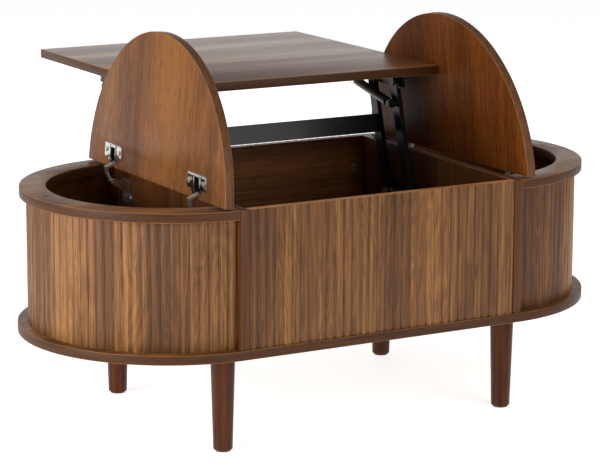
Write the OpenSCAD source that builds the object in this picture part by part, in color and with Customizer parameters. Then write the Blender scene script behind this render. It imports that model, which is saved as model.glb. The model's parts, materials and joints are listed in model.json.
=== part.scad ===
// Oval lift-top coffee table: fluted case on four legs, two hinged half-round lids and a
// centre top that swings up and forward on a pair of steel linkages.
// Origin: on the floor, midway along the whole table with its top raised. +X along the length, +Z up,
// +Y towards the side that the raised top moves to.

/* [Case] */
// Half the distance between the centres of the two end arcs
arc_x = 246; // [200:1:320]
// Radius of the bottom panel's end arcs, which is also half its width
bottom_r = 250; // [225:1:300]
// How much further out the bottom panel's arcs are centred
bottom_reach = 4; // [0:0.5:12]
// How far the rims and the straight faces sit inside the bottom panel's edge
rim_inset = 2; // [0:0.5:6]
// Thickness of every board
board_t = 15; // [12:0.5:22]
// Height of the legs, from the floor to the bottom panel
leg_h = 157; // [90:1:220]
// Height of the case, from the bottom panel to the top of the rims
case_h = 220; // [200:1:300]
// Width of the rims at the sides
rim_w = 48; // [40:1:60]
// How much wider than a concentric ring the rim opening is at its end
rim_open_x = 6; // [0:1:14]
// Distance from the middle of the table to a partition's inner face
partition_x = 243; // [225:1:300]

/* [Fluting] */
// Target width of one rib
rib_pitch = 15; // [10:0.5:24]
// Height of a rib above the groove
rib_h = 2.4; // [1.5:0.1:4]
// How far the rounded end shells sit inside the rims
shell_inset = 11; // [6:0.5:18]
// Thickness of the end shells, ribs included
shell_t = 12; // [9:0.5:18]

/* [Tops] */
// Gap between the closed lids and the centre top
top_gap = 1.5; // [1:0.25:4]
// Height of the rubber pads that the tops rest on
pad_h = 1; // [0.5:0.25:2]
// How far the tops sit inside the rims' front and rear edges
top_inset = 3; // [0:0.5:8]
// How far a closed lid reaches past its rim
lid_reach = 5.5; // [0:0.5:8]
// Angle that a lid opens to
lid_angle = 94; // [90:0.5:96]

/* [Lid hinges] */
// Distance of each hinge from the middle of the table, along Y
hinge_y = 150; // [100:1:180]
// Diameter of the hinge cup
cup_d = 35; // [26:1:35]
// Distance from the lid's straight edge to the middle of the cup
cup_inset = 21; // [20:0.5:24]
// Depth of the cup bore in the lid
cup_depth = 11.5; // [10:0.25:12]
// Distance between the two screws of a cup
cup_screw_gap = 48; // [45:1:52]
// Height of the screw plate's centre below the rim's top
plate_drop = 48; // [40:1:60]

/* [Lift linkage] */
// How far the top rises
lift_rise = 138; // [110:1:150]
// Distance between the pivots of an arm
arm_len = 208; // [190:1:225]
// Lean of the raised arms past the vertical
raised_lean = 15.5; // [10:0.5:22]
// Depth of the rear arms' base pivots below the rim's top
pivot_depth = 81; // [72:1:95]
// Distance between the two arms of a linkage, along Y
arm_gap = 75; // [60:1:95]
// How much lower the front arm's pivots are
front_drop = 5; // [2:0.5:10]
// Width of an arm
arm_w = 20; // [16:0.5:22]
// Depth of an arm's folded channel
arm_depth = 8; // [5:0.5:10]
// Sheet thickness of the arms and rails
sheet_t = 2.5; // [2:0.25:3]
// Diameter of the pivot rivets
pivot_d = 8; // [6:0.5:9]
// Radial running clearance of the pivots
pivot_fit = 0.06; // [0.03:0.01:0.1]
// Where along the front arm the strut's stud sits, from the base pivot
strut_on_arm = 170; // [130:1:175]
// Distance from the rear arm's top pivot back to the strut's rear stud
strut_back = 90; // [60:1:120]
// Height of the cross bar
bar_h = 32; // [20:1:40]
// Where along the rear arm the cross bar sits, from the base pivot
bar_on_arm = 119.5; // [90:0.5:130]

/* [Legs] */
// Distance of the legs from the middle, along X
leg_x = 260; // [220:1:300]
// Distance of the legs from the middle, along Y
leg_y = 191; // [150:1:200]
// Diameter of a leg at the top
leg_top_d = 39; // [30:1:50]
// Diameter of a leg at the foot
leg_foot_d = 30.5; // [24:0.5:40]

/* [Hidden] */

$fn = 96;
eps = 0.5;
drill_fit = 0.02;

// Heights
floor_z = leg_h + board_t;
rim_z = floor_z + case_h;
tops_z = rim_z + pad_h;

// Plan
rim_r = bottom_r - rim_inset;
shell_r = rim_r - shell_inset;
partition_out = partition_x + board_t;
// The open lids lean in over the centre top, so it stops short of them
top_half = partition_out - 1;
lid_edge = partition_out + top_gap;
lid_r = rim_r - top_inset;
lid_end = arc_x + rim_r + lid_reach;
lid_arc_x = lid_end - lid_r;
open_lid_x = partition_out + 11;
open_lid_z = rim_z + 2.5;

// Colours
walnut = "#8a5f3c";
walnut_edge = "#7a5236";
walnut_dark = "#4b2b22";
black_steel = "#16181a";
nickel = "#c9c9c4";
zinc = "#b9bcc0";
rubber = "#e8e6df";

// Lid hinge: two pivots joined by a link. Points are [x, z] for the right-hand side, and
// the lid's closed place is turned to its open place about the pole.
cup_pivot_closed = [lid_edge + 7.5, tops_z + 3];
link_reach = 30;
function spin(a, p) = [cos(a) * p[0] - sin(a) * p[1], sin(a) * p[0] + cos(a) * p[1]];
closed_corner = [lid_edge, tops_z + board_t];
open_corner = [open_lid_x, open_lid_z];
half_gap = (open_corner - closed_corner) / 2;
pole = closed_corner + half_gap + spin(90, half_gap) / tan(lid_angle / 2);
function to_open(p) = pole + spin(lid_angle, p - pole);
cup_pivot = to_open(cup_pivot_closed);
pivot_mid = (cup_pivot + cup_pivot_closed) / 2;
pivot_dir = (cup_pivot - cup_pivot_closed) / norm(cup_pivot - cup_pivot_closed);
arm_pivot = pivot_mid + link_reach * [pivot_dir[1], -pivot_dir[0]];
link_turn = 2 * atan2(norm(cup_pivot - cup_pivot_closed) / 2, link_reach);
hinge_pin_r = 1.5;
hinge_pin_l = 16;
hinge_half_w = 5.5;
cheek_in = 6;
cheek_out = 8;
flange_t = 1.2;
cup_wall = 0.8;
flange_w = 62;
flange_h = 25;
flange_corner = 4;
// The cup's screws stand this far inward of its middle
cup_screw_off = 6;
hinge_plate_t = 3;
hinge_plate_z = rim_z - plate_drop;

// Lift linkage, on the right-hand side. Points are [y, z] with the top raised.
plate_t = 3;
plate_x = partition_x - plate_t;
web_x = plate_x - 3 - arm_depth;
rail_x = plate_x - 2;
strut_x = web_x - 9;
strut_r = 7.5;
rod_r = 3;
pivot_r = pivot_d / 2;
lean_dir = [sin(raised_lean), cos(raised_lean)];
raised_h = arm_len * cos(raised_lean);
closed_h = raised_h - lift_rise;
closed_lean = -acos(closed_h / arm_len);
lift_swing = raised_lean - closed_lean;
lift_shift = arm_len * (sin(raised_lean) - sin(closed_lean));
base_rear = [130, rim_z - pivot_depth];
base_front = base_rear - [arm_gap, front_drop];
top_rear = base_rear + arm_len * lean_dir;
top_front = base_front + arm_len * lean_dir;
raised_z = tops_z + lift_rise;
strut_a = base_front + strut_on_arm * lean_dir;
strut_b = top_rear + [strut_back, -4];
strut_len = norm(strut_b - strut_a);
strut_angle = atan2(strut_b[1] - strut_a[1], strut_b[0] - strut_a[0]);
rail_depth = raised_z - top_front[1] + arm_w / 2 - 1;

// ---------- plan outlines ----------

module oval(x, r) {
  square([2 * x, 2 * r], center = true);
  for (s = [-1, 1]) translate([s * x, 0]) circle(r = r, $fn = 180);
}

module right_of(x) {
  intersection() {
    children();
    translate([x, -500]) square([1000, 1000]);
  }
}

// Points of a row of round-topped ribs, along +X from 0 to length, standing on y = 0
rib_steps = 8;
function ribs(count, pitch, height) = [
  for (i = [0:count - 1], k = [0:rib_steps - 1])
    [pitch * (i + k / rib_steps), height * pow(sin(180 * k / rib_steps), 0.6)],
  [count * pitch, 0]
];

// The same ribs bent round an arc that starts at angle a0, centred at [cx, 0]
function bent(points, r, cx, a0) = [
  for (p = points)
    let (a = a0 + p[0] / r * 180 / PI, q = r + p[1]) [cx + q * cos(a), q * sin(a)]
];

// ---------- boards ----------

module bottom_panel() {
  color(walnut) difference() {
    translate([0, 0, leg_h]) linear_extrude(board_t) oval(arc_x + bottom_reach, bottom_r);
    at_legs() translate([0, 0, leg_h - eps]) cylinder(r = insert_r + drill_fit, h = insert_h + eps);
    at_bottom_screws() {
      translate([0, 0, leg_h - eps]) cylinder(r = screw_r + drill_fit, h = board_t + 2 * eps);
      translate([0, 0, leg_h - eps]) cylinder(r = screw_head_r + drill_fit, h = screw_head_h + eps);
    }
  }
}

module partition(side) {
  color(walnut_edge) difference() {
    translate([side > 0 ? partition_x : -partition_out, -rim_r, floor_z])
      cube([board_t, 2 * rim_r, case_h]);
    at_bottom_screws() translate([0, 0, floor_z - eps]) cylinder(r = screw_r + drill_fit, h = screw_l);
    at_plate_screws() translate([0, 0, -eps])
      cylinder(r = small_screw_r + drill_fit, h = small_screw_l + eps);
    cam_bores();
  }
}

// A straight fluted panel between the partitions; side -1 is the front
module fluted_panel(side) {
  width = 2 * partition_x;
  count = round(width / rib_pitch);
  body = board_t - rib_h;
  color(walnut) difference() {
    translate([0, 0, floor_z]) linear_extrude(case_h) translate([0, side * (rim_r - board_t)])
      scale([1, side]) translate([-partition_x, body])
        polygon(concat([[0, -body]], ribs(count, width / count, rib_h), [[width, -body]]));
    cam_bores();
  }
}

// A round fluted end shell, standing between the bottom panel and the rim
module end_shell() {
  a0 = -acos((partition_out - arc_x) / shell_r);
  root_r = shell_r - rib_h;
  length = 2 * abs(a0) * PI / 180 * root_r;
  count = round(length / rib_pitch);
  outer = bent(ribs(count, length / count, rib_h), root_r, arc_x, a0);
  color(walnut) difference() {
    translate([0, 0, floor_z]) linear_extrude(case_h - board_t) difference() {
      right_of(partition_out) polygon(concat([[arc_x - 40, outer[0][1]]], outer,
        [[arc_x - 40, outer[len(outer) - 1][1]]]));
      translate([arc_x, 0]) circle(r = shell_r - shell_t, $fn = 180);
      translate([arc_x - 60, -shell_r + shell_t]) square([60, 2 * (shell_r - shell_t)]);
    }
    at_bottom_screws() translate([0, 0, floor_z - eps]) cylinder(r = screw_r + drill_fit, h = screw_l);
  }
}

module rim() {
  inner_r = rim_r - rim_w;
  color(walnut) translate([0, 0, rim_z - board_t]) linear_extrude(board_t) difference() {
    right_of(partition_out) translate([arc_x, 0]) circle(r = rim_r, $fn = 180);
    translate([arc_x + rim_open_x, 0]) circle(r = inner_r, $fn = 180);
    translate([arc_x - 40, -inner_r]) square([40 + rim_open_x, 2 * inner_r]);
  }
}

// Right-hand lid parts are drawn closed and then stood up about the pole
module opened() {
  translate([pole[0], 0, pole[1]]) rotate([0, -lid_angle, 0])
    translate([-pole[0], 0, -pole[1]]) children();
}

module lid() {
  color(walnut) opened() difference() {
    translate([0, 0, tops_z]) linear_extrude(board_t)
      right_of(lid_edge) translate([lid_arc_x, 0]) circle(r = lid_r, $fn = 180);
    for (y = [-hinge_y, hinge_y]) translate([0, y, 0]) {
      translate([lid_edge + cup_inset, 0, tops_z - eps])
        cylinder(d = cup_d + 2 * drill_fit, h = cup_depth + eps);
      at_cup_screws() cylinder(r = small_screw_r + drill_fit, h = cup_screw_l + eps);
    }
  }
}

module lift_top() {
  color(walnut) difference() {
    translate([-top_half, lift_shift - lid_r, raised_z]) cube([2 * top_half, 2 * lid_r, board_t]);
    at_rail_screws() translate([0, 0, -eps]) cylinder(r = small_screw_r + drill_fit, h = rail_screw_l + eps);
  }
}

// ---------- legs ----------

glide_h = 2;
insert_r = 7;
insert_h = 12;
bolt_r = 4;
leg_bolt_l = 34;

module at_legs() {
  for (sx = [-1, 1], sy = [-1, 1]) translate([sx * leg_x, sy * leg_y, 0]) children();
}

module leg() {
  top_r = leg_top_d / 2;
  foot_r = leg_foot_d / 2;
  round_r = 3;
  color(walnut_dark) difference() {
    rotate_extrude() polygon(concat(
      [[0, glide_h], [foot_r - round_r, glide_h]],
      [for (a = [-60:30:0]) [foot_r - round_r + round_r * cos(a), glide_h + round_r + round_r * sin(a)]],
      [[top_r, leg_h - 1], [top_r - 1, leg_h], [0, leg_h]]));
    translate([0, 0, leg_h - leg_bolt_l]) cylinder(r = bolt_r + drill_fit, h = leg_bolt_l + eps);
  }
}

module leg_at(sx, sy) {
  translate([sx * leg_x, sy * leg_y, 0]) leg();
}

module leg_inserts() {
  color(zinc) at_legs() translate([0, 0, leg_h]) difference() {
    cylinder(r = insert_r, h = insert_h);
    translate([0, 0, -eps]) cylinder(r = bolt_r + drill_fit, h = insert_h + 2 * eps);
  }
}

module leg_bolts() {
  color(zinc) at_legs() translate([0, 0, leg_h - leg_bolt_l]) cylinder(r = bolt_r, h = leg_bolt_l + insert_h - 1);
}

module leg_glides() {
  color(rubber) at_legs() cylinder(d = leg_foot_d - 7, h = glide_h);
}

// ---------- lid hinges ----------

module side_view(y0, y1) {
  translate([0, y1, 0]) rotate([90, 0, 0]) linear_extrude(y1 - y0) children();
}

module both_cheeks() {
  side_view(cheek_in, cheek_out) children();
  side_view(-cheek_out, -cheek_in) children();
}

module at_cup_screws() {
  for (s = [-1, 1])
    translate([lid_edge + cup_inset + cup_screw_off, s * cup_screw_gap / 2, tops_z - eps]) children();
}

module hinge_plate() {
  color(zinc) difference() {
    union() {
      translate([partition_out, -9, hinge_plate_z - 30]) cube([hinge_plate_t, 18, 60]);
      translate([partition_out, -24, hinge_plate_z - 7]) cube([hinge_plate_t, 48, 14]);
    }
    at_hinge_screws() translate([0, 0, -eps]) cylinder(r = small_screw_r + drill_fit, h = 10);
  }
}

// Screws of one hinge plate: local +Z runs into the board
module at_hinge_screws() {
  for (s = [-1, 1]) translate([partition_out + hinge_plate_t, s * 16, hinge_plate_z]) rotate([0, -90, 0])
    children();
}

module hinge_arm() {
  foot_x = partition_out + hinge_plate_t;
  foot_top = hinge_plate_z + 28;
  color(nickel) difference() {
    union() {
      both_cheeks() union() {
        translate([arm_pivot[0], arm_pivot[1]]) circle(r = 4);
        polygon([[foot_x, hinge_plate_z - 26], [foot_x + 9, hinge_plate_z - 26],
          [foot_x + 11, foot_top - 14], [arm_pivot[0] + 3, arm_pivot[1] - 3],
          [arm_pivot[0] - 2, arm_pivot[1] + 3.4], [foot_x, foot_top]]);
      }
      side_view(-cheek_out, cheek_out)
        translate([foot_x + 7, hinge_plate_z - 26]) square([2, 40]);
    }
    pin_hole(arm_pivot);
  }
}

module pin_hole(p) {
  side_view(-hinge_pin_l, hinge_pin_l) translate([p[0], p[1]]) circle(r = hinge_pin_r + 0.05);
}

module hinge_link() {
  knee = cup_pivot + [16, -6];
  shin = (knee + arm_pivot) / 2 + [2.5, 0];
  color(nickel) {
    side_view(-hinge_half_w, hinge_half_w) union() {
      for (p = [cup_pivot, arm_pivot]) translate([p[0], p[1]]) circle(r = 2.5);
      polygon([cup_pivot + [0, 2], knee + [1.6, 1], shin + [1.5, 0], arm_pivot + [2.6, 0],
        arm_pivot + [-1.2, 0], shin + [-1.5, 0], knee + [-1.4, -1.6], cup_pivot + [0, -1.6]]);
    }
    for (p = [cup_pivot, arm_pivot]) side_view(-hinge_pin_l / 2, hinge_pin_l / 2)
      translate([p[0], p[1]]) circle(r = hinge_pin_r);
  }
}

module hinge_cup() {
  cx = lid_edge + cup_inset;
  corner_x = flange_h / 2 - flange_corner;
  corner_y = flange_w / 2 - flange_corner;
  color(nickel) opened() difference() {
    union() {
      translate([cx, 0, tops_z]) cylinder(d = cup_d, h = cup_depth - drill_fit);
      translate([0, 0, tops_z - flange_t]) linear_extrude(flange_t) difference() {
        union() {
          translate([cx, 0]) circle(d = cup_d + 2);
          hull() for (sx = [-1, 1], sy = [-1, 1])
            translate([cx + cup_screw_off + sx * corner_x, sy * corner_y]) circle(r = flange_corner);
        }
        translate([cx - cup_d, -cheek_out - 0.5]) square([cup_d + cup_d / 3, 2 * cheek_out + 1]);
      }
    }
    translate([cx, 0, tops_z - eps]) cylinder(d = cup_d - 2 * cup_wall, h = cup_depth + eps - cup_wall);
    translate([cx - cup_d, -cheek_out - 0.5, tops_z - flange_t - eps])
      cube([cup_d - 12, 2 * cheek_out + 1, 5.5]);
    translate([0, 0, -flange_t]) at_cup_screws() cylinder(r = small_screw_r + drill_fit, h = 5);
  }
  // Lugs that hold the link's pin
  color(nickel) opened() difference() {
    both_cheeks() union() {
      translate([cup_pivot_closed[0], cup_pivot_closed[1]]) circle(r = 2.2);
      translate([cup_pivot_closed[0] - 1.6, cup_pivot_closed[1]])
        square([3.8, tops_z + cup_depth - cup_wall - cup_pivot_closed[1]]);
    }
    pin_hole(cup_pivot_closed);
  }
}

// ---------- lift linkage ----------

// Outline drawn in [y, z], extruded from x0 to x1
module slab(x0, x1) {
  translate([x0, 0, 0]) rotate([90, 0, 90]) linear_extrude(x1 - x0) children();
}

module rod_x(p, r, x0, x1) {
  translate([x0, p[0], p[1]]) rotate([0, 90, 0]) cylinder(r = r, h = x1 - x0);
}

// An arm drawn upright from its base pivot, then leaned to its raised place
module arm(base, holes) {
  color(black_steel) translate([0, base[0], base[1]]) rotate([-raised_lean, 0, 0]) difference() {
    union() {
      slab(web_x, web_x + sheet_t) union() {
        translate([-arm_w / 2, 0]) square([arm_w, arm_len]);
        for (z = [0, arm_len]) translate([0, z]) circle(d = arm_w);
      }
      for (s = [-1, 1]) translate([web_x, s * (arm_w - sheet_t) / 2 - sheet_t / 2, 14])
        cube([arm_depth, sheet_t, arm_len - 28]);
    }
    for (z = concat([0, arm_len], holes)) translate([web_x - eps, 0, z]) rotate([0, 90, 0])
      cylinder(r = pivot_r + (z == 0 || z == arm_len ? pivot_fit : drill_fit), h = sheet_t + 2 * eps);
  }
}

module front_arm() {
  arm(base_front, [strut_on_arm]);
}

module rear_arm() {
  color(black_steel) difference() {
    arm(base_rear, []);
    at_bar_bolts() cylinder(r = small_screw_r + drill_fit, h = 20, center = true);
  }
}

// Screw axes of the cross bar's two ends, along X
module at_bar_bolts() {
  translate([web_x, base_rear[0], base_rear[1]]) rotate([-raised_lean, 0, 0])
    for (s = [-1, 1]) translate([0, 0, bar_on_arm + s * 8]) rotate([0, 90, 0]) children();
}

module cross_bar() {
  lip = 14;
  color(black_steel) translate([0, base_rear[0], base_rear[1]]) rotate([-raised_lean, 0, 0])
    translate([0, 0, bar_on_arm]) difference() {
      translate([-web_x, -lip / 2, -bar_h / 2]) cube([2 * web_x, lip, bar_h]);
      translate([-web_x + sheet_t, -lip / 2 + sheet_t, -bar_h / 2 - eps])
        cube([2 * (web_x - sheet_t), lip, bar_h - sheet_t + eps]);
      for (s = [-8, 8]) translate([0, 0, s]) rotate([0, 90, 0])
        cylinder(r = small_screw_r + drill_fit, h = 3 * web_x, center = true);
    }
}

module bar_bolts() {
  color(zinc) mirrored() at_bar_bolts() translate([0, 0, -sheet_t - 2]) {
    cylinder(r = small_screw_r, h = 2 * sheet_t + 4);
    cylinder(r = 3.4, h = 2);
  }
}

module base_plate() {
  color(black_steel) difference() {
    slab(plate_x, partition_x) union() {
      translate(base_front - [24, 18]) square([arm_gap + 48, 40]);
      translate(base_front + [-24, 18]) square([arm_gap + 48, 10]);
    }
    for (p = [base_rear, base_front]) rod_x(p, pivot_r + drill_fit, plate_x - eps, partition_x + eps);
    at_base_screws() translate([0, 0, -eps]) cylinder(r = small_screw_r + drill_fit, h = 10);
  }
}

// Screws of the base plate: local +Z runs into the partition
module at_base_screws() {
  for (y = [base_front[0] - 17, base_rear[0] + 17], z = [-11, 20])
    translate([plate_x, y, base_front[1] + z]) rotate([0, 90, 0]) children();
}

module base_pivot(p) {
  rod_x(p, pivot_r, web_x - 0.3, partition_x - 0.2);
  rod_x(p, 6, web_x + sheet_t + 0.3, plate_x);
  rod_x(p, 7, web_x - 2.2, web_x - 0.3);
}

module base_pivots() {
  color(zinc) mirrored() for (p = [base_rear, base_front]) base_pivot(p);
}

module top_pivots() {
  color(zinc) mirrored() for (p = [top_rear, top_front]) {
    rod_x(p, pivot_r, web_x - 0.3, rail_x + sheet_t);
    rod_x(p, 6, web_x + sheet_t + 0.3, rail_x);
    rod_x(p, 7, web_x - 2.2, web_x - 0.3);
  }
}

rail_end_r = 7.5;
rail_end = [strut_b[0] + 8.5, raised_z - rail_end_r];

module top_rail() {
  y0 = top_front[0] - 22;
  flange_w = 24;
  color(black_steel) difference() {
    union() {
      slab(rail_x, rail_x + sheet_t) union() {
        translate([y0, raised_z - rail_depth]) square([strut_b[0] - y0, rail_depth]);
        translate(strut_b) circle(r = 9);
        translate([y0, raised_z - 2 * rail_end_r]) square([rail_end[0] - y0, 2 * rail_end_r]);
        translate(rail_end) circle(r = rail_end_r);
      }
      translate([rail_x - flange_w, y0, raised_z - sheet_t])
        cube([flange_w + sheet_t, rail_end[0] - y0, sheet_t]);
    }
    rod_x(rail_end, small_screw_r + drill_fit, rail_x - eps, rail_x + sheet_t + eps);
    for (p = [top_rear, top_front, strut_b]) rod_x(p, pivot_r + drill_fit, rail_x - eps, rail_x + sheet_t + eps);
    at_rail_screws() translate([0, 0, -sheet_t - eps]) cylinder(r = small_screw_r + drill_fit, h = 20);
  }
}

module at_rail_screws() {
  for (s = [-1, 1], k = [0:3])
    translate([s * (rail_x - 13), top_front[0] - 8 + k * (strut_b[0] - top_front[0]) / 3, raised_z])
      children();
}

module rail_screws() {
  color(zinc) at_rail_screws() {
    translate([0, 0, -sheet_t - 1.6]) cylinder(r = small_screw_r, h = rail_screw_l + sheet_t + 1);
    translate([0, 0, -sheet_t - 2]) cylinder(r = 3.6, h = 2);
  }
}

// Stud on the front arm that carries the strut's lower eye
module arm_studs() {
  color(zinc) mirrored() {
    rod_x(strut_a, pivot_r, strut_x - 6, web_x + sheet_t);
    rod_x(strut_a, 6, strut_x + 4.3, web_x);
    rod_x(strut_a, 5.5, strut_x - 7.5, strut_x - 4.3);
  }
}

// Stud on the rail, which stops short of the strut's upper eye, and the rivet in the rail's rear end
module rail_studs() {
  color(zinc) mirrored() {
    rod_x(strut_b, pivot_r, strut_x + 4.5, rail_x + sheet_t);
    rod_x(rail_end, small_screw_r, rail_x - 1, rail_x + sheet_t + 1);
    rod_x(rail_end, 3.2, rail_x + sheet_t, rail_x + sheet_t + 1.6);
    rod_x(rail_end, 3.2, rail_x - 1.6, rail_x);
  }
}

module along_strut(side) {
  translate([side * strut_x, strut_a[0], strut_a[1]]) rotate([strut_angle - 90, 0, 0]) children();
}

module strut_eye(r) {
  rotate([0, 90, 0]) cylinder(r = r, h = 8, center = true);
}

tube_start = 13;
// The closing strut takes the rod in by its stroke, and its eye stays clear of the tube
stroke_room = 62;
tube_end = strut_len - stroke_room;
rod_l = 98;

module strut_tube(side) {
  color(black_steel) difference() {
    along_strut(side) difference() {
      union() {
        strut_eye(7.5);
        cylinder(r = 4, h = tube_start + 1);
        translate([0, 0, tube_start]) cylinder(r = strut_r, h = tube_end - tube_start);
      }
      translate([0, 0, tube_start + 3]) cylinder(r = rod_r + 0.6, h = tube_end);
      translate([0, 0, tube_start + 3]) cylinder(r = strut_r - 1.2, h = tube_end - tube_start - 9);
    }
    rod_x(strut_a, pivot_r + pivot_fit, side * strut_x - 20, side * strut_x + 20);
  }
}

module strut_rod(side) {
  color(black_steel) difference() {
    along_strut(side) {
      translate([0, 0, strut_len]) strut_eye(6.5);
      translate([0, 0, strut_len - rod_l]) cylinder(r = rod_r, h = rod_l - 5);
      translate([0, 0, strut_len - rod_l]) cylinder(r = strut_r - 1.6, h = 5);
    }
    rod_x(strut_b, pivot_r + pivot_fit, side * strut_x - 20, side * strut_x + 20);
  }
}

// ---------- fasteners ----------

screw_r = 2.5;
screw_l = 30;
screw_head_r = 5;
screw_head_h = 3;
small_screw_r = 1.9;
small_screw_l = 12;
cup_screw_l = 9;
rail_screw_l = 11;
cam_r = 7.5;
cam_h = 9.5;
cam_z = 56;
cam_in = 16;
cam_depth = 5;
cam_bolt_r = 3;
cam_bolt_in = 10;

module at_bottom_screws() {
  mid_x = partition_x + board_t / 2;
  shell_mid = shell_r - (shell_t + rib_h) / 2;
  for (s = [-1, 1]) {
    for (y = [-150, 0, 150]) translate([s * mid_x, y, 0]) children();
    for (a = [-50, 0, 50]) translate([s * (arc_x + shell_mid * cos(a)), shell_mid * sin(a), 0]) children();
  }
}

module bottom_screws() {
  color(zinc) at_bottom_screws() translate([0, 0, leg_h + 0.2]) {
    cylinder(r = screw_r, h = board_t + screw_l - 2);
    cylinder(r = screw_head_r, h = screw_head_h - 0.2);
  }
}

module at_plate_screws() {
  mirrored() {
    at_base_screws() translate([0, 0, plate_t]) children();
    for (y = [-hinge_y, hinge_y]) translate([0, y, 0])
      at_hinge_screws() translate([0, 0, hinge_plate_t]) children();
  }
}

module plate_screws() {
  color(zinc) at_plate_screws() {
    translate([0, 0, -plate_t]) cylinder(r = small_screw_r, h = plate_t + small_screw_l - 1);
    translate([0, 0, -plate_t - 2]) cylinder(r = 3.6, h = 2);
  }
}

module cup_screws() {
  color(zinc) opened() for (y = [-hinge_y, hinge_y]) translate([0, y, 0])
    at_cup_screws() translate([0, 0, eps - flange_t]) {
      translate([0, 0, -1]) cylinder(r = small_screw_r, h = cup_screw_l);
      translate([0, 0, -2]) cylinder(r = 3.6, h = 2);
    }
}

// Cam locks sit in the inner faces of the fluted panels, near the partitions
module at_cams() {
  for (sx = [-1, 1], sy = [-1, 1], z = [cam_z, case_h - cam_z])
    translate([sx * (partition_x - cam_in), sy * (rim_r - board_t), floor_z + z])
      rotate([-sy * 90, 0, 0]) children();
}

// Their bolts run out into the partitions: local +Z points that way
module at_cam_bolts() {
  for (sx = [-1, 1], sy = [-1, 1], z = [cam_z, case_h - cam_z])
    translate([sx * partition_x, sy * (rim_r - board_t + cam_depth), floor_z + z])
      rotate([0, sx * 90, 0]) children();
}

module cam_bores() {
  at_cams() translate([0, 0, -eps]) cylinder(r = cam_r + drill_fit, h = cam_h + eps);
  at_cam_bolts() translate([0, 0, -cam_in]) cylinder(r = cam_bolt_r + drill_fit, h = cam_in + cam_bolt_in + eps);
}

module cam_fittings() {
  color(zinc) {
    at_cams() difference() {
      cylinder(r = cam_r, h = cam_h - 0.2);
      for (a = [0, 90]) rotate([0, 0, a]) translate([-4, -0.7, -eps]) cube([8, 1.4, 1.5 + eps]);
    }
    at_cam_bolts() translate([0, 0, cam_r + 0.4 - cam_in])
      cylinder(r = cam_bolt_r, h = cam_in - cam_r - 0.4 + cam_bolt_in);
  }
}

// Pads under the closed tops: on the partitions for the centre top, on the rims for the lids
module bumper_pads() {
  pad_r = 4;
  ring = rim_r - rim_w / 2;
  color(rubber) translate([0, 0, rim_z]) for (s = [-1, 1]) {
    for (y = [-200, 200]) translate([s * (partition_x + board_t / 2), y, 0]) cylinder(r = pad_r, h = pad_h);
    for (a = [-78, 0, 78]) translate([s * (arc_x + ring * cos(a)), ring * sin(a), 0])
      cylinder(r = pad_r, h = pad_h);
  }
}

// ---------- both sides ----------

module mirrored() {
  children();
  mirror([1, 0, 0]) children();
}

module on_side(side) {
  if (side > 0) children();
  else mirror([1, 0, 0]) children();
}

module at_hinge(sx, sy) {
  on_side(sx) translate([0, sy * hinge_y, 0]) children();
}

// Everything above is drawn about the middle of the case; the origin is the middle of the
// whole table's footprint, with the top raised
module placed() {
  translate([0, -(lift_shift + lid_r - bottom_r) / 2, 0]) children();
}

placed() bottom_panel();
placed() partition(-1);  // left_partition
placed() partition(1);  // right_partition
placed() fluted_panel(-1);  // front_panel
placed() fluted_panel(1);  // rear_panel
placed() on_side(-1) end_shell();  // left_end_shell
placed() end_shell();  // right_end_shell
placed() on_side(-1) rim();  // left_rim
placed() rim();  // right_rim
placed() on_side(-1) lid();  // left_lid
placed() lid();  // right_lid
placed() lift_top();
placed() leg_at(-1, -1);  // leg_front_left
placed() leg_at(1, -1);  // leg_front_right
placed() leg_at(-1, 1);  // leg_rear_left
placed() leg_at(1, 1);  // leg_rear_right
placed() leg_inserts();
placed() leg_bolts();
placed() leg_glides();
placed() at_hinge(-1, -1) hinge_plate();  // hinge_plate_left_front
placed() at_hinge(-1, 1) hinge_plate();  // hinge_plate_left_rear
placed() at_hinge(1, -1) hinge_plate();  // hinge_plate_right_front
placed() at_hinge(1, 1) hinge_plate();  // hinge_plate_right_rear
placed() at_hinge(-1, -1) hinge_arm();  // hinge_arm_left_front
placed() at_hinge(-1, 1) hinge_arm();  // hinge_arm_left_rear
placed() at_hinge(1, -1) hinge_arm();  // hinge_arm_right_front
placed() at_hinge(1, 1) hinge_arm();  // hinge_arm_right_rear
placed() at_hinge(-1, -1) hinge_link();  // hinge_link_left_front
placed() at_hinge(-1, 1) hinge_link();  // hinge_link_left_rear
placed() at_hinge(1, -1) hinge_link();  // hinge_link_right_front
placed() at_hinge(1, 1) hinge_link();  // hinge_link_right_rear
placed() at_hinge(-1, -1) hinge_cup();  // hinge_cup_left_front
placed() at_hinge(-1, 1) hinge_cup();  // hinge_cup_left_rear
placed() at_hinge(1, -1) hinge_cup();  // hinge_cup_right_front
placed() at_hinge(1, 1) hinge_cup();  // hinge_cup_right_rear
placed() plate_screws();
placed() on_side(-1) cup_screws();  // cup_screws_left
placed() cup_screws();  // cup_screws_right
placed() on_side(-1) base_plate();  // left_base_plate
placed() base_plate();  // right_base_plate
placed() on_side(-1) rear_arm();  // left_rear_arm
placed() rear_arm();  // right_rear_arm
placed() cross_bar();
placed() on_side(-1) front_arm();  // left_front_arm
placed() front_arm();  // right_front_arm
placed() on_side(-1) top_rail();  // left_top_rail
placed() top_rail();  // right_top_rail
placed() strut_tube(-1);  // left_strut_tube
placed() strut_tube(1);  // right_strut_tube
placed() strut_rod(-1);  // left_strut_rod
placed() strut_rod(1);  // right_strut_rod
placed() base_pivots();
placed() top_pivots();
placed() rail_studs();
placed() arm_studs();
placed() rail_screws();
placed() bar_bolts();
placed() cam_fittings();
placed() bottom_screws();
placed() bumper_pads();
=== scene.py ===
import json
import math

import bpy
from mathutils import Matrix, Vector


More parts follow.
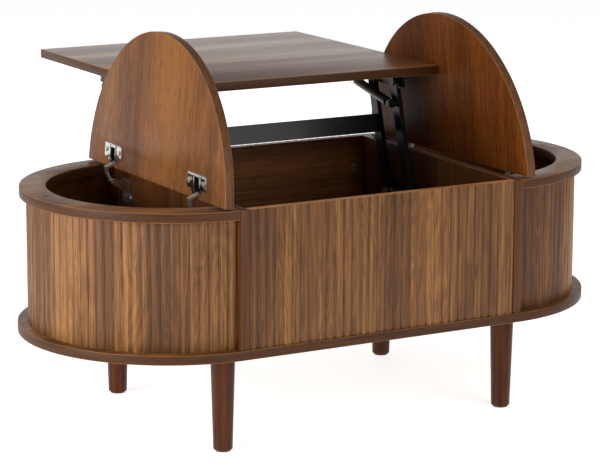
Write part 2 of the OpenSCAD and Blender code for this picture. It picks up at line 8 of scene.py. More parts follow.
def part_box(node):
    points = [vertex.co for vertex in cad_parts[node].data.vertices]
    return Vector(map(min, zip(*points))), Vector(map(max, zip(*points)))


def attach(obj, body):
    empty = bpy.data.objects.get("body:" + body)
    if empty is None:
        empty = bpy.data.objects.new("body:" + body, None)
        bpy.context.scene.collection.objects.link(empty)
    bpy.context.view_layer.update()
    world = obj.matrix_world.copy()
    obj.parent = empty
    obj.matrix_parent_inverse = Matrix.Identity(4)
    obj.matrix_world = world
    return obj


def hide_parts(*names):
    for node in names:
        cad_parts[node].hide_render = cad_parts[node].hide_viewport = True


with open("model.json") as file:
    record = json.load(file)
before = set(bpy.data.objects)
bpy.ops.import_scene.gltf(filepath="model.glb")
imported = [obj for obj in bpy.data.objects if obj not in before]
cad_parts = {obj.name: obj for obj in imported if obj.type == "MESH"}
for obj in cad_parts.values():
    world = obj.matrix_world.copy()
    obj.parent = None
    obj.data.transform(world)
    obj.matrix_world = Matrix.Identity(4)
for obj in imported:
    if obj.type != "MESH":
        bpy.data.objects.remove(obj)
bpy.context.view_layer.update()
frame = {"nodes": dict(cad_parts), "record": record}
record = frame["record"]

MM = 0.001

# ---------------------------------------------------------------- places

bottom_lo, bottom_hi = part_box("bottom_panel")
rim_lo, rim_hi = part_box("right_rim")
shell_lo, shell_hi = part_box("right_end_shell")
wall_lo, wall_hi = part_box("right_partition")
front_lo, front_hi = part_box("front_panel")
top_lo, top_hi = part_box("lift_top")

MID_Y = (bottom_lo.y + bottom_hi.y) / 2
BOARD = bottom_hi.z - bottom_lo.z
BOTTOM_R = (bottom_hi.y - bottom_lo.y) / 2
RIM_R = wall_hi.y - MID_Y
RIM_X = rim_hi.x - RIM_R
WALL_OUT = wall_hi.x
SHELL_R = shell_hi.x - RIM_X
RIM_W = 48 * MM
RIM_OPEN_X = 6 * MM
SHELL_T = 12 * MM
RIB_H = 2.4 * MM
RIB_PITCH = 15 * MM
RIB_R = (RIB_PITCH ** 2 / 4 + RIB_H ** 2) / (2 * RIB_H)

# Softened edges of a board, of a rib and of a sheet steel piece
SOFT_EDGE = 0.7 * MM
RIB_EDGE = 0.6 * MM
STEEL_EDGE = 0.4 * MM

# A cutter reaches this far past what it cuts
CUTTER = 0.1
# Pieces of one board overlap by this much
SEAT = 0.02 * MM
NEAR = 1e-6


# ---------------------------------------------------------------- modelling

def choose(obj):
    """Selects one piece and nothing else."""
    bpy.ops.object.select_all(action="DESELECT")
    obj.select_set(True)
    bpy.context.view_layer.objects.active = obj


def edit(obj):
    """Starts edit mode on one piece, with all of it selected."""
    choose(obj)
    bpy.ops.object.mode_set(mode="EDIT")
    bpy.ops.mesh.select_all(action="SELECT")


def pick(obj, kind, test):
    """Starts edit mode with the vertices or edges selected whose middle passes a test."""
    edit(obj)
    bpy.ops.mesh.select_mode(type={"edges": "EDGE", "verts": "VERT"}[kind])
    bpy.ops.mesh.select_all(action="DESELECT")
    done()
    mesh = obj.data
    for vertex in mesh.vertices if kind == "verts" else ():
        vertex.select = test(vertex.co)
    for edge in mesh.edges if kind == "edges" else ():
        first, last = (mesh.vertices[i].co for i in edge.vertices)
        edge.select = test((first + last) / 2)
    bpy.ops.object.mode_set(mode="EDIT")


def done():
    bpy.ops.object.mode_set(mode="OBJECT")


def settle(obj, angle=35):
    """Puts a finished piece's place into its mesh, and smooths its rounded faces."""
    choose(obj)
    bpy.ops.object.transform_apply(location=True, rotation=True, scale=True)
    bpy.ops.object.shade_smooth_by_angle(angle=math.radians(angle))
    return obj


def apply_modifier(obj, kind, **settings):
    """Adds one modifier to a piece and applies it."""
    choose(obj)
    modifier = obj.modifiers.new(kind.title(), kind)
    for name, value in settings.items():
        setattr(modifier, name, value)
    bpy.ops.object.modifier_apply(modifier=modifier.name)


def box_piece(name, lo, hi):
    """A box between two corners."""
    lo, hi = Vector(lo), Vector(hi)
    bpy.ops.object.select_all(action="DESELECT")
    bpy.ops.mesh.primitive_cube_add(size=1, location=(lo + hi) / 2, scale=hi - lo)
    obj = bpy.context.object
    obj.name = obj.data.name = name
    bpy.ops.object.transform_apply(location=True, rotation=True, scale=True)
    return obj


def disc_piece(name, centre, radius, depth, vertices=128):
    """An upright disc: centre is the middle of its height."""
    bpy.ops.object.select_all(action="DESELECT")
    bpy.ops.mesh.primitive_cylinder_add(vertices=vertices, radius=radius, depth=depth, location=centre)
    obj = bpy.context.object
    obj.name = obj.data.name = name
    bpy.ops.object.transform_apply(location=True, rotation=True, scale=True)
    return obj


def cut(obj, point, normal):
    """Cuts a piece with a plane, drops what is in front of it and closes the cut."""
    edit(obj)
    bpy.ops.mesh.bisect(plane_co=point, plane_no=normal, use_fill=True, clear_outer=True)
    done()


def carve(obj, cutter):
    """Takes one closed shape out of another."""
    apply_modifier(obj, "BOOLEAN", operation="DIFFERENCE", object=cutter, solver="EXACT")
    bpy.data.objects.remove(cutter)


def soften(obj, width=SOFT_EDGE, angle=40, segments=2):
    """Rounds a piece's sharp edges."""
    apply_modifier(obj, "BEVEL", width=width, segments=segments, limit_method="ANGLE",
                   angle_limit=math.radians(angle), use_clamp_overlap=True)
    return obj


def stretch_oval(obj, reach):
    """Pulls the two halves of a disc apart along X, into an oval."""
    for side in (-1, 1):
        pick(obj, "verts", lambda p: p.x * side > NEAR)
        bpy.ops.transform.translate(value=(side * reach, 0, 0))
        done()


def copy_of(obj, name):
    """A copy with its own mesh."""
    twin = obj.copy()
    twin.data = obj.data.copy()
    twin.name = twin.data.name = name
    bpy.context.scene.collection.objects.link(twin)
    return twin


def mirror_copy(obj, name):
    """A copy mirrored across x = 0, with its faces still pointing out."""
    twin = copy_of(obj, name)
    choose(twin)
    twin.scale = (-1, 1, 1)
    bpy.ops.object.transform_apply(location=True, rotation=True, scale=True)
    edit(twin)
    bpy.ops.mesh.normals_make_consistent(inside=False)
    done()
    return twin


def join(name, pieces):
    """Makes several shells one piece."""
    bpy.ops.object.select_all(action="DESELECT")
    for piece in pieces:
        piece.select_set(True)
    bpy.context.view_layer.objects.active = pieces[0]
    bpy.ops.object.join()
    pieces[0].name = pieces[0].data.name = name
    return pieces[0]


def place(obj, body, node):
    """Says what a finished piece rides on, and hides the CAD part that it stands for."""
    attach(obj, body)
    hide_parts(node)


# ---------------------------------------------------------------- shading

class Val:
    """One value in a material's node tree, so that sums are written as sums."""

    def __init__(self, tree, socket):
        self.tree = tree
        self.socket = socket

    def _math(self, operation, other, swapped=False):
        node = self.tree.nodes.new("ShaderNodeMath")
        node.operation = operation
        order = (other, self) if swapped else (self, other)
        for slot, item in zip(node.inputs, order):
            if isinstance(item, Val):
                self.tree.links.new(item.socket, slot)
            else:
                slot.default_value = item
        return Val(self.tree, node.outputs[0])

    def __add__(self, other):
        return self._math("ADD", other)

    __radd__ = __add__

    def __mul__(self, other):
        return self._math("MULTIPLY", other)

    __rmul__ = __mul__

    def __sub__(self, other):
        return self._math("SUBTRACT", other)

    def __rsub__(self, other):
        return self._math("SUBTRACT", other, swapped=True)


class Finish:
    """A material and the nodes that make it."""

    def __init__(self, name, **constants):
        self.material = bpy.data.materials.new(name)
        self.material.use_nodes = True
        self.tree = self.material.node_tree
        self.shader = self.tree.nodes["Principled BSDF"]
        for key, value in constants.items():
            self.shader.inputs[key.replace("_", " ")].default_value = value
        self.coords = self.node("ShaderNodeTexCoord", out="Object")

    def node(self, kind, settings=None, out=0, ramp=None, **inputs):
        """Adds a node: its settings first, then the values or links of its sockets."""
        node = self.tree.nodes.new(kind)
        for key, value in (settings or {}).items():
            setattr(node, key, value)
        if ramp:
            stops = node.color_ramp.elements
            while len(stops) < len(ramp):
                stops.new(0.5)
            for stop, (position, colour) in zip(stops, ramp):
                stop.position = position
                stop.color = (*colour, 1)
        for key, value in inputs.items():
            numbered = key[0] == "i" and key[1:].isdigit()
            socket = node.inputs[int(key[1:]) if numbered else key.replace("_", " ")]
            if isinstance(value, Val):
                self.tree.links.new(value.socket, socket)
            else:
                socket.default_value = value
        return Val(self.tree, node.outputs[out])

    def noise(self, scale, detail=3, rough=0.5, size=1.0, distortion=0.0, shift=(0, 0, 0)):
        """Noise stretched along the axes: a larger scale makes finer marks."""
        place_on = self.node("ShaderNodeMapping", Vector=self.coords, Scale=scale, Location=shift)
        return self.node("ShaderNodeTexNoise", Vector=place_on, Scale=size,
                         Detail=detail, Roughness=rough, Distortion=distortion)

    def mix(self, factor, a, b, blend="MIX"):
        """Blends two colours."""
        a, b = (c if isinstance(c, Val) else (*c, 1) for c in (a, b))
        return self.node("ShaderNodeMix", {"data_type": "RGBA", "blend_type": blend}, out=2,
                         i0=factor, i6=a, i7=b)

    def smooth(self, value, lo, hi):
        """Runs a value softly from 0 at lo to 1 at hi."""
        return self.node("ShaderNodeMapRange", {"interpolation_type": "SMOOTHSTEP"},
                         Value=value, From_Min=lo, From_Max=hi)

    def bump(self, height, strength, distance):
        normal = self.node("ShaderNodeBump", Height=height, Strength=strength, Distance=distance)
        self.feed("Normal", normal)

    def feed(self, name, value):
        """Gives the shader's socket a value or a link."""
        if isinstance(value, Val):
            self.tree.links.new(value.socket, self.shader.inputs[name])
        else:
            self.shader.inputs[name].default_value = value


def put_on(obj, finish):
    """Gives a whole piece one finish, in the material slots it has."""
    if not obj.material_slots:
        obj.data.materials.append(finish.material)
    for slot in obj.material_slots:
        slot.material = finish.material


# Linear colours of the printed walnut foil, from its light streaks to its dark ones
HONEY = (0.320, 0.148, 0.047)
TAN = (0.198, 0.085, 0.028)
BROWN = (0.124, 0.050, 0.017)
PLUM = (0.078, 0.032, 0.014)
# The redder pair of tones of the lids and the inside
RUSSET = (0.120, 0.040, 0.011)
AMBER = (0.330, 0.135, 0.036)
# The edge tape's two tones, and how dark a pore is against its surroundings
TAPE_DARK = (0.070, 0.031, 0.013)
TAPE_LIGHT = (0.135, 0.061, 0.026)
PORE = 0.60


def walnut(name, grain="Z", tone=(1, 1, 1), warmth=0.0, shift=0.0, rough=0.44, sheen=0.25):
    """Printed walnut: broad bands, narrow streaks, cathedral waves and fine pores along the grain."""
    f = Finish(name, Specular_IOR_Level=sheen)
    along = {"X": (1, 0, 0), "Y": (0, 1, 0), "Z": (0, 0, 1)}[grain]

    def stretch(across, length):
        return tuple(length if a else across for a in along)

    off = (shift, shift * 0.7, shift * 1.3)
    bands = f.noise(stretch(13, 0.45), detail=1, rough=0.4, distortion=0.2, shift=off)
    streaks = f.noise(stretch(70, 1.6), detail=3, rough=0.65, distortion=0.25, shift=off)
    lines = f.noise(stretch(330, 5.5), detail=3, rough=0.65, distortion=0.15, shift=off)
    wave = f.noise(stretch(20, 2.2), detail=2, rough=0.55, distortion=0.8, shift=(shift + 3.1, shift, shift))
    figure = f.node("ShaderNodeMath", {"operation": "SINE"}, i0=wave * 95.0) * 0.5 + 0.5
    blend = bands * 0.95 + streaks * 0.52 + lines * 0.84 + figure * 0.11 - 1.21
    blend = f.smooth(blend, -0.42, 0.42)
    stops = [(0.0, PLUM), (0.33, BROWN), (0.62, TAN), (0.92, HONEY)]
    colour = f.node("ShaderNodeValToRGB", ramp=stops, Fac=blend)
    if warmth:
        colour = f.mix(warmth, colour, f.mix(blend, RUSSET, AMBER))
    pores = f.smooth(f.noise(stretch(950, 22), detail=1, rough=0.5, shift=off), 0.33, 0.45)
    dark = tuple(PORE * c for c in tone)
    colour = f.mix(1.0, colour, f.mix(pores, dark, tone), "MULTIPLY")
    f.feed("Base Color", colour)
    f.feed("Roughness", (1 - blend) * 0.08 + rough)
    f.bump(pores * 0.6 + lines * 0.4, 0.18, 0.0004)
    return f


def edge_band(name, tone=(1, 1, 1), upright=False):
    """Edge tape: a calmer walnut print that runs along the edge."""
    f = Finish(name, Specular_IOR_Level=0.18)
    streaks = f.noise((160, 160, 4) if upright else (9, 9, 160), detail=3, rough=0.6)
    fine = f.noise((700, 700, 12) if upright else (40, 40, 700), detail=2, rough=0.5)
    blend = f.smooth(streaks * 0.7 + fine * 0.3, 0.3, 0.7)
    dark, light = (tuple(c * t for c, t in zip(base, tone)) for base in (TAPE_DARK, TAPE_LIGHT))
    f.feed("Base Color", f.mix(blend, dark, light))
    f.feed("Roughness", blend * 0.1 + 0.42)
    f.bump(fine, 0.1, 0.0003)
    return f


def dark_wood():
    """Turned legs: reddish dark lacquer over vertical grain."""
    f = Finish("leg_lacquer", Specular_IOR_Level=0.15)
    grain = f.noise((120, 120, 3), detail=4, rough=0.6, distortion=0.3)
    pores = f.smooth(f.noise((700, 700, 16), detail=1), 0.32, 0.44)
    blend = f.smooth(grain, 0.3, 0.7)
    colour = f.mix(blend, (0.034, 0.0085, 0.0020), (0.102, 0.027, 0.0065))
    colour = f.mix(1.0, colour, f.mix(pores, (PORE, PORE, PORE), (1, 1, 1)), "MULTIPLY")
    f.feed("Base Color", colour)
    f.feed("Roughness", blend * 0.1 + 0.33)
    f.bump(pores, 0.15, 0.0003)
    return f


def powder_coat():
    """Satin black powder coat with a faint orange peel."""
    f = Finish("black_powder_coat", Specular_IOR_Level=0.35)
    peel = f.noise((1, 1, 1), size=900, detail=2)
    wear = f.noise((1, 1, 1), size=40, detail=3)
    f.feed("Base Color", f.mix(f.smooth(wear, 0.35, 0.65), (0.004, 0.0045, 0.005), (0.009, 0.0095, 0.010)))
    f.feed("Roughness", wear * 0.12 + 0.26)
    f.bump(peel, 0.12, 0.0002)
    return f


def plated(name, colour, rough):
    """Plated steel: slightly mottled, with fine drawn lines."""
    f = Finish(name, Metallic=1.0)
    cloud = f.noise((1, 1, 1), size=120, detail=3)
    lines = f.noise((60, 60, 2600), detail=2)
    f.feed("Base Color", f.mix(f.smooth(cloud, 0.3, 0.7), tuple(c * 0.82 for c in colour), colour))
    f.feed("Roughness", cloud * 0.12 + rough)
    f.bump(lines, 0.05, 0.0001)
    return f


def moulded(name, colour, rough):
    """Moulded plastic or rubber, slightly clouded."""
    f = Finish(name, Specular_IOR_Level=0.5)
    cloud = f.noise((1, 1, 1), size=180, detail=3)
    f.feed("Base Color", f.mix(f.smooth(cloud, 0.3, 0.7), tuple(c * 0.85 for c in colour), colour))
    f.feed("Roughness", cloud * 0.2 + rough)
    f.bump(cloud, 0.1, 0.0002)
    return f


flute_foil = walnut("fluted_walnut_foil", "Z", tone=(0.98, 0.95, 0.88))
flat_foil = walnut("board_walnut_foil", "X", shift=2.3, tone=(0.85, 0.76, 0.58), rough=0.42)
# The top's walnut print with real sheen, its tone paler and lighter than the rims' foil: painted reflection
top_painted_reflection_foil = walnut("top_walnut_foil", "X", shift=2.9, tone=(0.90, 0.84, 0.72), rough=0.36, sheen=0.60)
# The same walnut print darkened for the inner faces: painted shade of the enclosed compartments
inside_painted_shade_foil = walnut("inner_walnut_foil_painted_shade", "X", shift=4.4, tone=(0.64, 0.49, 0.27), warmth=0.5)
lid_foil = walnut("lid_walnut_foil", "Z", warmth=0.75, shift=5.1, tone=(0.76, 0.66, 0.47))
# The same walnut print darkened for the lids' top faces, which face inward when open: painted shade of the
# shadowed right lid
lid_top_painted_shade_foil = walnut("lid_top_walnut_foil_painted_shade", "Z", warmth=0.85, shift=7.3, tone=(0.62, 0.43, 0.22),
                      sheen=0.06)
# The same walnut print darkened for the partitions' faces: painted shade inside the compartments
wall_painted_shade_foil = walnut("partition_walnut_foil_painted_shade", "Z", warmth=0.6, shift=8.7, tone=(0.42, 0.33, 0.20),
                   sheen=0.15)
tape = edge_band("walnut_edge_tape", (0.62, 0.49, 0.33))
wall_tape = edge_band("partition_edge_tape", (0.92, 0.76, 0.58), upright=True)
lid_tape = edge_band("lid_edge_tape", (1.05, 0.95, 0.80), upright=True)
# Tape made 2.5 times brighter for the bevelled corners: a painted highlight
painted_corner_highlight = edge_band("lit_corner_line", (2.5, 2.3, 1.9))
# Tape made about four times brighter for the tops of the ribs: a painted highlight
painted_rib_highlight = edge_band("lit_rib_line", (4.2, 3.8, 3.0))
leg_finish = dark_wood()
black = powder_coat()
nickel = plated("bright_nickel", (0.68, 0.67, 0.63), 0.14)
satin_nickel = plated("satin_nickel", (0.86, 0.85, 0.80), 0.30)
# Dark steel for the faces in the cup's recess: painted shade
bowl_painted_shade_steel = plated("cup_bowl_painted_shade", (0.16, 0.155, 0.14), 0.25)
zinc = plated("zinc_plate", (0.72, 0.74, 0.76), 0.30)
glide_plastic = moulded("glide_plastic", (0.03, 0.02, 0.015), 0.45)
pad_rubber = moulded("clear_pad", (0.10, 0.075, 0.055), 0.2)
pad_rubber.feed("Alpha", 0.45)


UP = Vector((0, 0, 1))
# A face whose normal passes this much along an axis is flat to it; under the other it is an edge
FLAT = 0.97
EDGE = 0.3


def face_finish(obj, flat, axis=UP, band=None, reverse=None):
    """Foil on a board's two faces, tape round its edges and a painted highlight line along its corners."""
    obj.data.materials.clear()
    for finish in (flat, band or tape, painted_corner_highlight, reverse or flat):
        obj.data.materials.append(finish.material)
    for face in obj.data.polygons:
        along = face.normal.dot(axis)
        face.material_index = 0 if along > FLAT else 3 if along < -FLAT else 1 if abs(along) < EDGE else 2


def wall_finish(obj):
    """A partition: darkened foil as painted shade on its faces, tape on its edges, and a painted highlight
    line only along its top.
    """
    obj.data.materials.clear()
    for finish in (wall_painted_shade_foil, wall_tape, painted_corner_highlight):
        obj.data.materials.append(finish.material)
    for face in obj.data.polygons:
        slanted = EDGE < face.normal.z < FLAT and abs(face.normal.y) < EDGE
        face.material_index = 0 if abs(face.normal.x) > FLAT else 2 if slanted else 1


def flute_finish(obj, inward):
    """Foil on the ribs, darker foil inside as painted shade, and a painted highlight line along the top."""
    obj.data.materials.clear()
    for finish in (flute_foil, inside_painted_shade_foil, painted_rib_highlight):
        obj.data.materials.append(finish.material)
    for face in obj.data.polygons:
        face.material_index = 2 if face.normal.z > 0.6 else 1 if inward(face) else 0


# ---------------------------------------------------------------- boards

def bottom_board():
    """The oval bottom panel."""
    obj = disc_piece("bottom_board", (0, MID_Y, bottom_lo.z + BOARD / 2), BOTTOM_R, BOARD, 192)
    stretch_oval(obj, bottom_hi.x - BOTTOM_R)
    soften(obj)
    settle(obj)
    face_finish(obj, flat_foil)
    place(obj, "base", "bottom_panel")


def rim_board():
    """The right horseshoe rim and its mirror."""
    z = (rim_lo.z + rim_hi.z) / 2
    obj = disc_piece("right_rim_board", (RIM_X, MID_Y, z), RIM_R, BOARD, 192)
    opening = disc_piece("opening", (RIM_X + RIM_OPEN_X, MID_Y, z), RIM_R - RIM_W, CUTTER, 160)
    pick(opening, "verts", lambda p: p.x < RIM_X + RIM_OPEN_X + 10 * NEAR)
    bpy.ops.transform.translate(value=(-CUTTER, 0, 0))
    done()
    carve(obj, opening)
    cut(obj, (WALL_OUT, 0, 0), (-1, 0, 0))
    soften(obj)
    settle(obj)
    face_finish(obj, flat_foil)
    twin = mirror_copy(obj, "left_rim_board")
    place(obj, "base", "right_rim")
    place(twin, "base", "left_rim")


def wall_board(name, node):
    """One of the two partitions."""
    lo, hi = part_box(node)
    obj = box_piece(name, lo, hi)
    soften(obj)
    settle(obj)
    wall_finish(obj)
    place(obj, "base", node)


def rib_bar(x, crest_y, z0, z1, width):
    """One rounded rib, a slice of a bar, with its crest at crest_y and pointing along -Y."""
    bar = disc_piece("rib", (x, crest_y + RIB_R, (z0 + z1) / 2), RIB_R, z1 - z0, 72)
    depth = RIB_R - math.sqrt(RIB_R ** 2 - (width / 2) ** 2)
    cut(bar, (0, crest_y + depth, 0), (0, 1, 0))
    soften(bar, RIB_EDGE, 60)
    return bar, depth


def fluted_face():
    """The front panel and, turned round, the rear one."""
    lo, hi = front_lo, front_hi
    count = round((hi.x - lo.x) / RIB_PITCH)
    pitch = (hi.x - lo.x) / count
    first, depth = rib_bar(lo.x + pitch / 2, lo.y, lo.z, hi.z, pitch)
    face_y = lo.y + depth - SEAT
    ribs = [first]
    for i in range(1, count):
        rib = copy_of(ribs[0], "rib")
        rib.location.x = i * pitch
        ribs.append(rib)
    board = box_piece("board", (lo.x, face_y, lo.z), hi)
    obj = join("front_fluted_panel", [board] + ribs)
    settle(obj)
    flute_finish(obj, lambda face: face.normal.y > 0.5)
    twin = copy_of(obj, "rear_fluted_panel")
    twin.rotation_euler.z = math.pi
    twin.location.y = 2 * MID_Y
    settle(twin)
    place(obj, "base", "front_panel")
    place(twin, "base", "rear_panel")


def fluted_end():
    """The right end shell and its mirror."""
    z0, z1 = shell_lo.z, shell_hi.z
    root = SHELL_R - RIB_H
    sweep = math.acos((WALL_OUT - RIM_X) / SHELL_R)
    count = round(2 * sweep * root / RIB_PITCH)
    step = 2 * sweep / count
    first, depth = rib_bar(RIM_X, MID_Y - SHELL_R, z0, z1, step * root)
    shell = disc_piece("shell", (RIM_X, MID_Y, (z0 + z1) / 2), SHELL_R - depth + 5 * SEAT, z1 - z0, 192)
    hollow = disc_piece("hollow", (RIM_X, MID_Y, (z0 + z1) / 2), SHELL_R - SHELL_T, 10 * CUTTER, 192)
    carve(shell, hollow)
    cut(shell, (WALL_OUT, 0, 0), (-1, 0, 0))
    ribs = []
    for i in range(count):
        turn = Matrix.Rotation(-sweep + (i + 0.5) * step + math.pi / 2, 4, "Z")
        centre = Matrix.Translation((RIM_X, MID_Y, 0))
        rib = copy_of(first, "rib")
        rib.matrix_world = centre @ turn @ centre.inverted()
        ribs.append(rib)
    bpy.data.objects.remove(first)
    obj = join("right_fluted_end", [shell] + ribs)
    settle(obj)
    hub = Vector((RIM_X, MID_Y, 0))
    flute_finish(obj, lambda face: face.normal.dot(hub - face.center) > 0.5 * SHELL_R)
    twin = mirror_copy(obj, "left_fluted_end")
    place(obj, "base", "right_end_shell")
    place(twin, "base", "left_end_shell")


bottom_board()
rim_board()
wall_board("right_partition_board", "right_partition")
wall_board("left_partition_board", "left_partition")
fluted_face()
fluted_end()


def top_board():
    """The rectangular top that lifts."""
    obj = box_piece("lift_top_board", top_lo, top_hi)
    soften(obj)
    settle(obj)
    face_finish(obj, top_painted_reflection_foil)
    place(obj, "lift_top", "lift_top")


top_board()


# ---------------------------------------------------------------- lids and their hinges

TILT = math.radians(4)
LID_FOOT = Vector((WALL_OUT + 11 * MM, MID_Y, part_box("right_lid")[0].z))
LID_R = RIM_R - 3 * MM
LID_ARC = 5 * MM
HINGE_Y = 150 * MM
CUP_IN = 21 * MM
BORE_R = 17.5 * MM
BORE_DEPTH = 11.5 * MM
BOWL_R = 17.3 * MM
BOWL_HOLLOW_R = 16.5 * MM
BOWL_RIM_R = 18.5 * MM
FLANGE = 1.2 * MM
FLANGE_OUT = 31 * MM
FLANGE_TALL = 25 * MM
FLANGE_CORNER = 4 * MM
SCREW_X = 24 * MM
SCREW_Y = CUP_IN + 6 * MM
SINK_R = 2.4 * MM
SINK_DEPTH = 3 * MM
SLOT_OUT = 8.5 * MM
SLOT_END = CUP_IN + 11.6 * MM
SLOT_DEPTH = 4.4 * MM
RIDGE = 0.9 * MM
RIDGE_HALF = 1.2 * MM
LUG_X = 7 * MM
LUG_LO = (5.8 * MM, BOARD - 10 * MM)
LUG_HI = (12 * MM, BOARD - 0.9 * MM)

# The open right lid's own directions: along its straight edge, up the lid, and out of its underside
LID_PLACE = Matrix((
    (0, -math.sin(TILT), math.cos(TILT)),
    (1, 0, 0),
    (0, math.cos(TILT), math.sin(TILT)),
)).to_4x4()
LID_PLACE.translation = LID_FOOT


def lean(obj, along=0):
    """Takes a piece drawn flat in the lid's own directions to the open lid."""
    obj.matrix_world = LID_PLACE @ Matrix.Translation((along, 0, 0))
    return settle(obj)


def lid_board():
    """The right lid with its two cup bores, and its mirror."""
    obj = disc_piece("right_lid_board", (0, -LID_ARC, BOARD / 2), LID_R, BOARD, 192)
    cut(obj, (0, 0, 0), (0, -1, 0))
    for side in (-1, 1):
        carve(obj, disc_piece("bore", (side * HINGE_Y, CUP_IN, BOARD), BORE_R, 2 * BORE_DEPTH, 64))
    soften(obj)
    lean(obj)
    face_finish(obj, lid_foil, LID_PLACE.to_3x3() @ UP, lid_tape, lid_top_painted_shade_foil)
    twin = mirror_copy(obj, "left_lid_board")
    place(obj, "right_lid", "right_lid")
    place(twin, "left_lid", "left_lid")


def cup_flange(top):
    """The screw flange: a plate with rounded corners and two countersinks."""
    low, high = SCREW_Y - FLANGE_TALL / 2, SCREW_Y + FLANGE_TALL / 2
    plate = box_piece("hinge_cup", (-FLANGE_OUT, low, BOARD), (FLANGE_OUT, high, top))
    middle = BOARD + FLANGE / 2
    pick(plate, "edges", lambda p: abs(abs(p.x) - FLANGE_OUT) < NEAR and abs(p.z - middle) < NEAR)
    bpy.ops.mesh.bevel(offset=FLANGE_CORNER, segments=5)
    done()
    for side in (-1, 1):
        carve(plate, disc_piece("sink", (side * SCREW_X, SCREW_Y, top), SINK_R, 2 * SINK_DEPTH, 24))
    return plate


def cup_bowl():
    """The bowl that sits in the lid, open towards the underside."""
    deep = BOARD - BORE_DEPTH
    bowl = disc_piece("bowl", (0, CUP_IN, (deep + BOARD) / 2), BOWL_R, BORE_DEPTH - 0.2 * MM, 64)
    hollow_z = deep + BORE_DEPTH / 2 + MM
    carve(bowl, disc_piece("hollow", (0, CUP_IN, hollow_z), BOWL_HOLLOW_R, BORE_DEPTH, 64))
    return bowl


def hinge_cup():
    """One cup with its flange, the ridges beside its slot and the lugs for its pin, and its copies."""
    top = BOARD + FLANGE
    rim = disc_piece("rim", (0, CUP_IN, BOARD + FLANGE * 0.45), BOWL_RIM_R, FLANGE * 0.9, 64)
    pieces = [cup_flange(top), rim, cup_bowl()]
    for piece in pieces:
        slot = box_piece("slot", (-SLOT_OUT, -CUTTER / 10, BOARD - SLOT_DEPTH),
                         (SLOT_OUT, SLOT_END, top + 3 * MM))
        carve(piece, slot)
        soften(piece, 0.25 * MM, 50)
    ridge_lo = SCREW_Y - FLANGE_TALL / 2 + 3 * MM
    ridge_hi = SCREW_Y + FLANGE_TALL / 2 - 3 * MM
    ridge_x = SLOT_OUT + 1.3 * MM
    for side in (-1, 1):
        x = side * LUG_X
        lug = box_piece("lug", (x - MM, *LUG_LO), (x + MM, *LUG_HI))
        pieces.append(soften(lug, STEEL_EDGE))
    for side in (-1, 1):
        x = side * ridge_x
        ridge = box_piece("ridge", (x - RIDGE_HALF, ridge_lo, BOARD + FLANGE / 2),
                          (x + RIDGE_HALF, ridge_hi, top + RIDGE))
        pieces.append(soften(ridge, STEEL_EDGE))
    cup = join("hinge_cup_bowl", pieces)
    put_on(cup, nickel)
    # The bowl and the lugs below the flange take the dark steel: painted shade in the cup's recess
    cup.data.materials.append(bowl_painted_shade_steel.material)
    for face in cup.data.polygons:
        face.material_index = int(face.center.z < BOARD - MM / 2)
    for end, side in (("front", -1), ("rear", 1)):
        right = copy_of(cup, f"hinge_cup_right_{end}_bowl")
        lean(right, side * HINGE_Y)
        left = mirror_copy(right, f"hinge_cup_left_{end}_bowl")
        place(right, "right_lid", f"hinge_cup_right_{end}")
        place(left, "left_lid", f"hinge_cup_left_{end}")
    bpy.data.objects.remove(cup)


lid_board()
hinge_cup()


# ---------------------------------------------------------------- legs

LEG_FOOT_R = 15.25 * MM
LEG_TOP_R = 19.5 * MM
LEG_ROUND = 2.6 * MM


def legs():
    """One turned leg with a rounded foot, and its three copies."""
    lo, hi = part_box("leg_front_right")
    x, y = (lo.x + hi.x) / 2, (lo.y + hi.y) / 2
    bpy.ops.object.select_all(action="DESELECT")
    bpy.ops.mesh.primitive_cone_add(vertices=64, radius1=LEG_FOOT_R, radius2=LEG_TOP_R, depth=hi.z - lo.z,
                                    location=(x, y, (lo.z + hi.z) / 2))
    leg = bpy.context.object
    leg.name = leg.data.name = "leg_front_right_turned"
    bpy.ops.object.transform_apply(location=True, rotation=True, scale=True)
    foot = Vector((x, y, lo.z))
    pick(leg, "edges", lambda p: p.z < lo.z + 100 * NEAR and (p - foot).length > LEG_FOOT_R / 2)
    bpy.ops.mesh.bevel(offset=LEG_ROUND, segments=4)
    done()
    settle(leg)
    put_on(leg, leg_finish)
    for name, dx, dy in (("leg_front_left", -2 * x, 0), ("leg_rear_right", 0, 2 * (MID_Y - y)),
                         ("leg_rear_left", -2 * x, 2 * (MID_Y - y))):
        other = copy_of(leg, name + "_turned")
        other.location = (dx, dy, 0)
        settle(other)
        place(other, "base", name)
    place(leg, "base", "leg_front_right")


legs()

# ---------------------------------------------------------------- finishes of the CAD nodes

SLOTS = {"walnut": flat_foil, "lid_walnut": lid_foil, "dark_wood": leg_finish, "black_steel": black,
         "nickel": nickel, "zinc_steel": zinc, "glide": glide_plastic, "pad": pad_rubber}
for part in record["subparts"]:
    link = part["node"].startswith("hinge_link")
    put_on(frame["nodes"][part["node"]], satin_nickel if link else SLOTS[part["material_slot"]])

# ---------------------------------------------------------------- floor, light and camera

SKY = 0.26
FLOOR_GLOW = 0.78
FLOOR_SIZE = 30

bpy.ops.object.select_all(action="DESELECT")
bpy.ops.mesh.primitive_plane_add(size=FLOOR_SIZE, location=(0, 0, 0))
floor = bpy.context.object
floor.name = "floor"
paper = Finish("pale_floor", Roughness=0.9, Emission_Strength=FLOOR_GLOW)
paper.feed("Base Color", (0.7, 0.7, 0.7, 1))
paper.feed("Emission Color", (1, 1, 1, 1))
put_on(floor, paper)

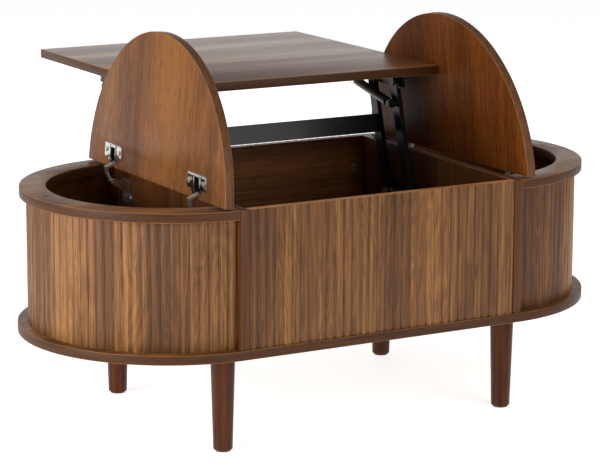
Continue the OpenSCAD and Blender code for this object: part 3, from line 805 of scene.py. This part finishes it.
world = bpy.data.worlds.new("studio")
bpy.context.scene.world = world
world.use_nodes = True
sky = world.node_tree.nodes["Background"]
sky.inputs["Color"].default_value = (1, 1, 1, 1)
sky.inputs["Strength"].default_value = SKY


def softbox(name, place_at, aim, size, power):
    """A large soft light that the camera does not see."""
    light = bpy.data.lights.new(name, "AREA")
    light.shape = "RECTANGLE"
    light.size, light.size_y = size
    light.energy = power
    obj = bpy.data.objects.new(name, light)
    bpy.context.scene.collection.objects.link(obj)
    obj.location = place_at
    obj.rotation_euler = (Vector(aim) - Vector(place_at)).to_track_quat("-Z", "Y").to_euler()
    obj.visible_camera = False


softbox("left_window", (-3.0, -0.5, 0.85), (0, 0, 0.35), (2.0, 1.3), 72)
softbox("front_panel_light", (0.9, -3.4, 1.5), (0, 0, 0.2), (2.0, 1.8), 40)
softbox("overhead", (-0.3, -0.2, 3.2), (0, 0, 0.3), (2.4, 1.6), 20)
softbox("back_wall", (1.2, 3.6, 1.1), (0, 0, 0.3), (5.0, 2.0), 34)

# A long lens from the front left, a little above the table
SENSOR = 36
LENS = 150.942
SHIFT_X = -0.00717
SHIFT_Y = -0.07117
CAMERA_AT = Vector((-2.0158, -3.5369 + MID_Y, 1.1608))
YAW = math.radians(29.59)
PITCH = math.radians(11.17)
ROLL = math.radians(0.24)

camera_data = bpy.data.cameras.new("camera")
camera = bpy.data.objects.new("camera", camera_data)
bpy.context.scene.collection.objects.link(camera)
camera_data.sensor_fit = "HORIZONTAL"
camera_data.sensor_width = SENSOR
camera_data.lens = LENS
camera_data.shift_x = SHIFT_X
camera_data.shift_y = SHIFT_Y
camera_data.clip_end = 100
look = Vector((math.sin(YAW) * math.cos(PITCH), math.cos(YAW) * math.cos(PITCH), -math.sin(PITCH)))
level = Vector((math.cos(YAW), -math.sin(YAW), 0))
plumb = level.cross(look)
right = level * math.cos(ROLL) + plumb * math.sin(ROLL)
up = plumb * math.cos(ROLL) - level * math.sin(ROLL)
camera.matrix_world = Matrix.Translation(CAMERA_AT) @ Matrix((right, up, -look)).transposed().to_4x4()
bpy.context.scene.camera = camera
bpy.context.scene.view_settings.view_transform = "Standard"
